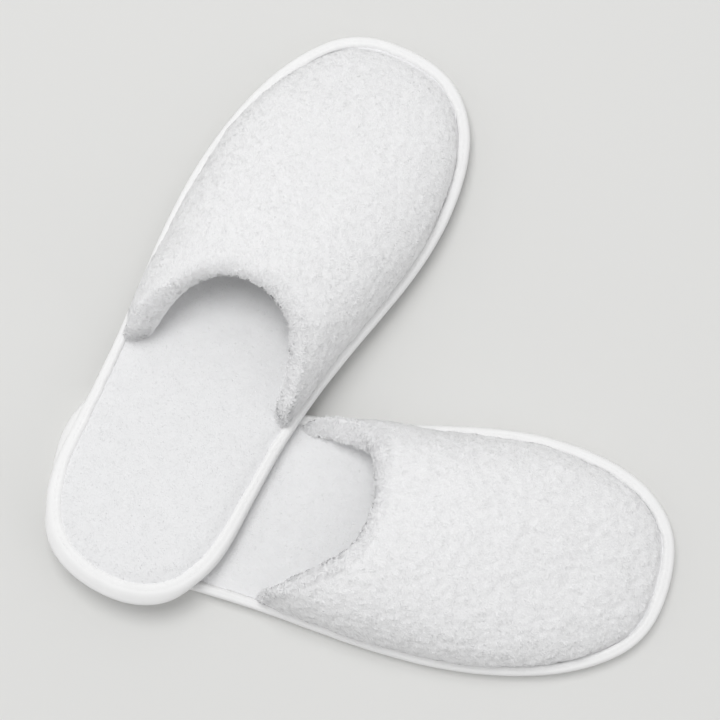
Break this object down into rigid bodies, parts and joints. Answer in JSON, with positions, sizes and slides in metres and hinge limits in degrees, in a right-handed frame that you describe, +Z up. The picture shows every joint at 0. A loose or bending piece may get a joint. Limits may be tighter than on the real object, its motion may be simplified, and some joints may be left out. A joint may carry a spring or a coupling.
{
  "type": "spa slippers",
  "caption": "Pair of closed-toe white plush spa slippers with a padded velour insole, taped edge and flat EVA outsole; one lies across the other's heel.",
  "frame": {"origin": "centre of the pair's bounding box, on the floor that both slippers touch", "axes": "+Z up; +X runs from the right slipper's heel to its toe; +Y from the right slipper towards the left slipper's toe"},
  "size_m": [0.2855, 0.2768, 0.0571],
  "materials": {
    "plush": "white coral fleece pile, matt and fuzzy",
    "velour": "white short velour pile, matt",
    "lining": "white plain woven lining, matt",
    "foam": "open-cell sponge, off-white",
    "board": "pressed insole board, matt",
    "tape": "white knitted binding tape, smooth with a faint sheen",
    "thread": "white spun polyester sewing thread",
    "sole_eva": "white EVA sheet, matt with a fine non-slip texture"
  },
  "bodies": {
    "right_slipper": {"right_outsole": "sole_eva", "right_insole_board": "board", "right_insole_foam": "foam", "right_insole_cover": "velour", "right_binding_tape": "tape", "right_binding_needle_thread": "thread", "right_binding_bobbin_thread": "thread", "right_upper_plush": "plush", "right_upper_foam": "foam", "right_upper_lining": "lining", "right_collar_thread": "thread"},
    "left_slipper": {"left_outsole": "sole_eva", "left_insole_board": "board", "left_insole_foam": "foam", "left_insole_cover": "velour", "left_binding_tape": "tape", "left_binding_needle_thread": "thread", "left_binding_bobbin_thread": "thread", "left_upper_plush": "plush", "left_upper_foam": "foam", "left_upper_lining": "lining", "left_collar_thread": "thread"}
  },
  "joints": [
    {"name": "lift_off", "type": "slide", "parent": "right_slipper", "child": "left_slipper", "axis": [0, 0, 1], "range_m": [0, 0.15]}
  ]
}
